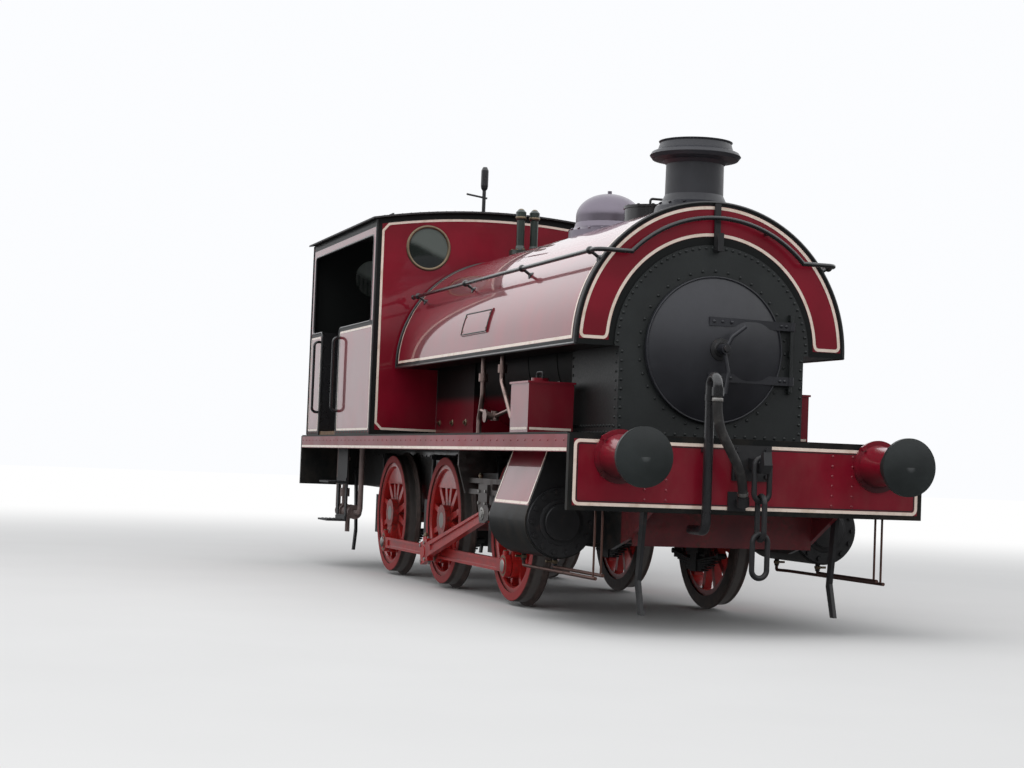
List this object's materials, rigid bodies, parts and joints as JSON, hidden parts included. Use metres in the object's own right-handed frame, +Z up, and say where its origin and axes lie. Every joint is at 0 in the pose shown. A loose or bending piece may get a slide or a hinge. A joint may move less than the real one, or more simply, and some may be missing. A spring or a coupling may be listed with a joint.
{
  "type": "steam locomotive",
  "caption": "Six-coupled saddle tank steam locomotive with outside cylinders, open-sided cab, spoked wheels, side rods and sprung buffers; runs on rails.",
  "frame": {"origin": "on the ground below the middle of the length over the buffers", "axes": "+X forward to the chimney end, +Y to the locomotive's left, +Z up"},
  "size_m": [8.662, 2.446, 3.6898],
  "materials": {
    "beam_red": "gloss",
    "black_iron": "satin",
    "black_paint": "satin",
    "brass": "polished",
    "bright_steel": "satin",
    "copper_pipe": "satin",
    "crimson_paint": "gloss",
    "floor_wood": "matte",
    "frame_red": "satin",
    "green_paint": "gloss",
    "hose_rubber": "matte",
    "polished_dome": "polished",
    "rod_red": "gloss",
    "roof_black": "matte",
    "smokebox_black": "satin",
    "tyre_steel": "satin",
    "wheel_red": "gloss",
    "window_glass": "clear"
  },
  "bodies": {
    "locomotive": {"ashpan": "black_iron", "axleboxes": "black_iron", "backhead_fittings": "brass", "boiler": "black_paint", "brake_gear": "black_iron", "buffer_beams": "beam_red", "buffer_heads": "black_iron", "buffer_stocks": "beam_red", "bunker_plate": "black_paint", "cab_controls": "bright_steel", "cab_floor": "floor_wood", "cab_front": "crimson_paint", "cab_rear": "crimson_paint", "cab_roof": "roof_black", "cab_side_left": "crimson_paint", "cab_side_right": "crimson_paint", "cab_steps": "black_paint", "cab_windows": "window_glass", "chimney": "smokebox_black", "coupling_chains": "black_iron", "cylinder_jackets": "crimson_paint", "cylinders": "black_iron", "dome": "polished_dome", "drain_pipes": "copper_pipe", "drawhooks": "black_iron", "filler_neck": "crimson_paint", "firebox": "black_paint", "footplate": "black_paint", "frames": "frame_red", "guard_irons": "black_iron", "handrails": "bright_steel", "hose_ends": "black_iron", "injectors": "copper_pipe", "lamp_irons": "black_iron", "pipework": "copper_pipe", "saddle_tank": "crimson_paint", "safety_valves": "green_paint", "sandboxes": "crimson_paint", "slide_bars": "bright_steel", "smokebox": "smokebox_black", "springs": "black_iron", "standpipes": "black_paint", "tank_plate": "black_paint", "vacuum_hose": "hose_rubber", "whistle": "brass"},
    "wheelset_front": {"tyres_front": "tyre_steel", "wheels_front": "wheel_red"},
    "wheelset_middle": {"tyres_middle": "tyre_steel", "wheels_middle": "wheel_red"},
    "wheelset_rear": {"tyres_rear": "tyre_steel", "wheels_rear": "wheel_red"},
    "coupling_rod_right": {"coupling_rod_right": "rod_red"},
    "coupling_rod_left": {"coupling_rod_left": "rod_red"},
    "crosshead_right": {"crosshead_right": "bright_steel"},
    "crosshead_left": {"crosshead_left": "bright_steel"},
    "connecting_rod_right": {"connecting_rod_right": "rod_red"},
    "connecting_rod_left": {"connecting_rod_left": "rod_red"},
    "smokebox_door": {"smokebox_door": "smokebox_black"},
    "tank_filler_lid": {"filler_lid": "crimson_paint"}
  },
  "joints": [
    {"name": "front_wheels_turn", "type": "hinge", "parent": "locomotive", "child": "wheelset_front", "pos_m": [1.7, 0, 0.536], "axis": [0, 1, 0], "continuous": true},
    {"name": "middle_wheels_turn", "type": "hinge", "parent": "locomotive", "child": "wheelset_middle", "pos_m": [-0.1, 0, 0.536], "axis": [0, 1, 0], "continuous": true},
    {"name": "rear_wheels_turn", "type": "hinge", "parent": "locomotive", "child": "wheelset_rear", "pos_m": [-1.75, 0, 0.536], "axis": [0, 1, 0], "continuous": true},
    {"name": "right_coupling_rod_turns", "type": "hinge", "parent": "wheelset_middle", "child": "coupling_rod_right", "pos_m": [-0.1, -0.855, 0.282], "axis": [0, 1, 0], "continuous": true},
    {"name": "left_coupling_rod_turns", "type": "hinge", "parent": "wheelset_middle", "child": "coupling_rod_left", "pos_m": [0.154, 0.855, 0.536], "axis": [0, 1, 0], "continuous": true},
    {"name": "right_piston_slides", "type": "slide", "parent": "locomotive", "child": "crosshead_right", "axis": [1, 0, 0], "range_m": [-0.218, 0.29]},
    {"name": "left_piston_slides", "type": "slide", "parent": "locomotive", "child": "crosshead_left", "axis": [1, 0, 0], "range_m": [-0.508, 0]},
    {"name": "right_connecting_rod_swings", "type": "hinge", "parent": "crosshead_right", "child": "connecting_rod_right", "pos_m": [1.51069, -0.94, 0.64], "axis": [0, 1, 0], "range_deg": [0, 17.75]},
    {"name": "left_connecting_rod_swings", "type": "hinge", "parent": "crosshead_left", "child": "connecting_rod_left", "pos_m": [1.80072, 0.94, 0.64], "axis": [0, 1, 0], "range_deg": [-8.92, 8.83]},
    {"name": "smokebox_door_hinge", "type": "hinge", "parent": "locomotive", "child": "smokebox_door", "pos_m": [3.291, 0.545, 1.79], "axis": [0, 0, 1], "range_deg": [0, 130]},
    {"name": "filler_lid_hinge", "type": "hinge", "parent": "locomotive", "child": "tank_filler_lid", "pos_m": [1.884, 0, 2.845], "axis": [0, -1, 0], "range_deg": [0, 110]}
  ],
  "couplings": [
    {"joint": "front_wheels_turn", "follows": "middle_wheels_turn", "ratio": 1},
    {"joint": "rear_wheels_turn", "follows": "middle_wheels_turn", "ratio": 1},
    {"joint": "right_coupling_rod_turns", "follows": "middle_wheels_turn", "ratio": -1},
    {"joint": "left_coupling_rod_turns", "follows": "middle_wheels_turn", "ratio": -1}
  ]
}
